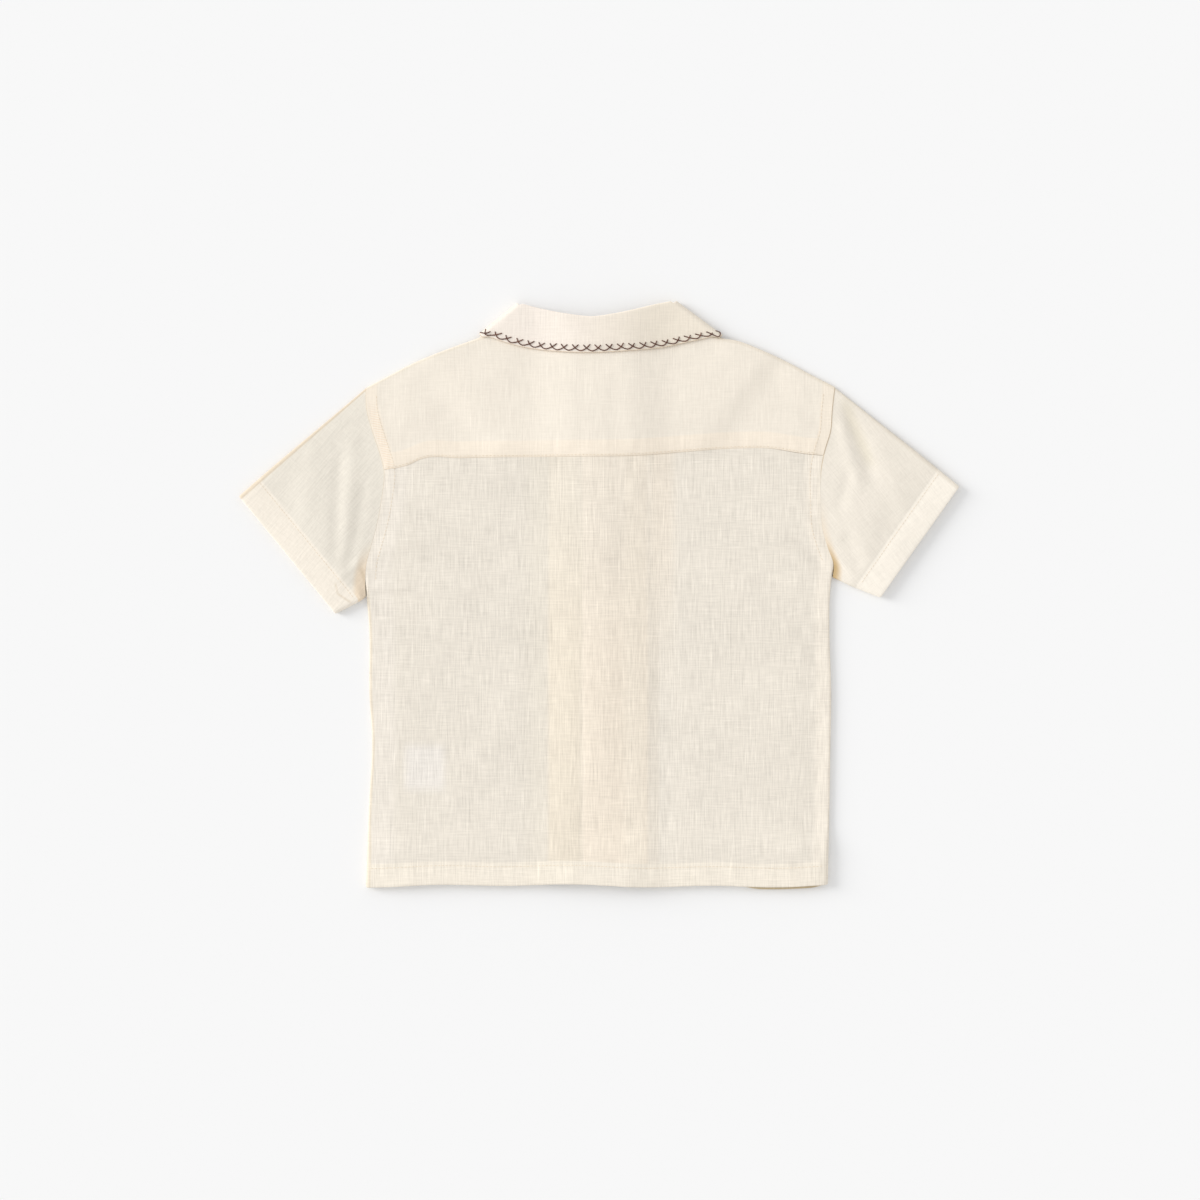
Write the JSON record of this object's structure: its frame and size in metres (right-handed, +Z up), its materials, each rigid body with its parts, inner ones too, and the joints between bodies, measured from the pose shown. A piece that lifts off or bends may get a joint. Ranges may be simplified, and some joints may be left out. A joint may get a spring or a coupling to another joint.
{
  "type": "short-sleeve shirt",
  "caption": "Small child's camp-collar short-sleeve shirt of slub linen, buttoned and laid flat on its front, back up.",
  "frame": {"origin": "centre of the bottom of the bounding box, on the table", "axes": "+X across the shirt from the wearer's left to right, +Y from hem to collar, +Z up from the table"},
  "size_m": [0.5044, 0.4108, 0.01],
  "materials": {
    "cloth": "cream slub linen, matte and slightly see-through",
    "buttons": "horn-coloured, satin",
    "label": "white woven tape"
  },
  "bodies": {
    "root": {"back": "cloth", "yoke": "cloth", "front_left": "cloth", "front_right": "cloth", "sleeve_left": "cloth", "sleeve_right": "cloth", "collar": "cloth", "button_1": "buttons", "button_2": "buttons", "button_3": "buttons", "button_4": "buttons", "button_5": "buttons", "care_label": "label"}
  },
  "joints": []
}
